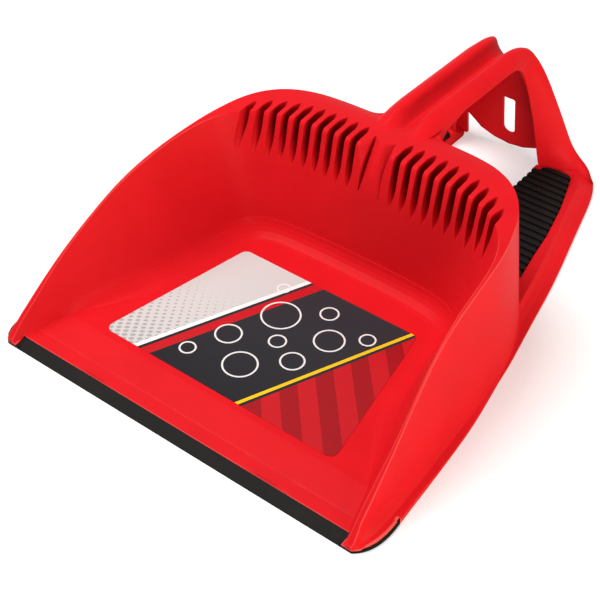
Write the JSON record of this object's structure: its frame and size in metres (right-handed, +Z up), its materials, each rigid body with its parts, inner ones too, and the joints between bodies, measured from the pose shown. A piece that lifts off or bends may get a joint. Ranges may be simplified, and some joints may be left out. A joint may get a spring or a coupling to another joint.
{
  "type": "step-on dustpan",
  "caption": "Wide deep dustpan with a rubber front lip, a bristle comb along the rear wall, a channelled grip on a hanging frame and ribbed foot pads to hold it down.",
  "frame": {"origin": "middle of the footprint on the ground: halfway between the lip's blade and the heels, on the mirror plane", "axes": "+Z up, +Y from the front lip to the rear of the grip, +X to the right as seen from behind the grip"},
  "size_m": [0.3428, 0.4608, 0.1223],
  "materials": {
    "red_plastic": "injection-moulded polypropylene, glossy",
    "black_rubber": "matt soft rubber",
    "label_film": "printed film"
  },
  "bodies": {
    "root": {"pan_body": "red_plastic", "front_lip": "black_rubber", "left_tread_pad": "black_rubber", "right_tread_pad": "black_rubber", "label": "label_film"}
  },
  "joints": []
}
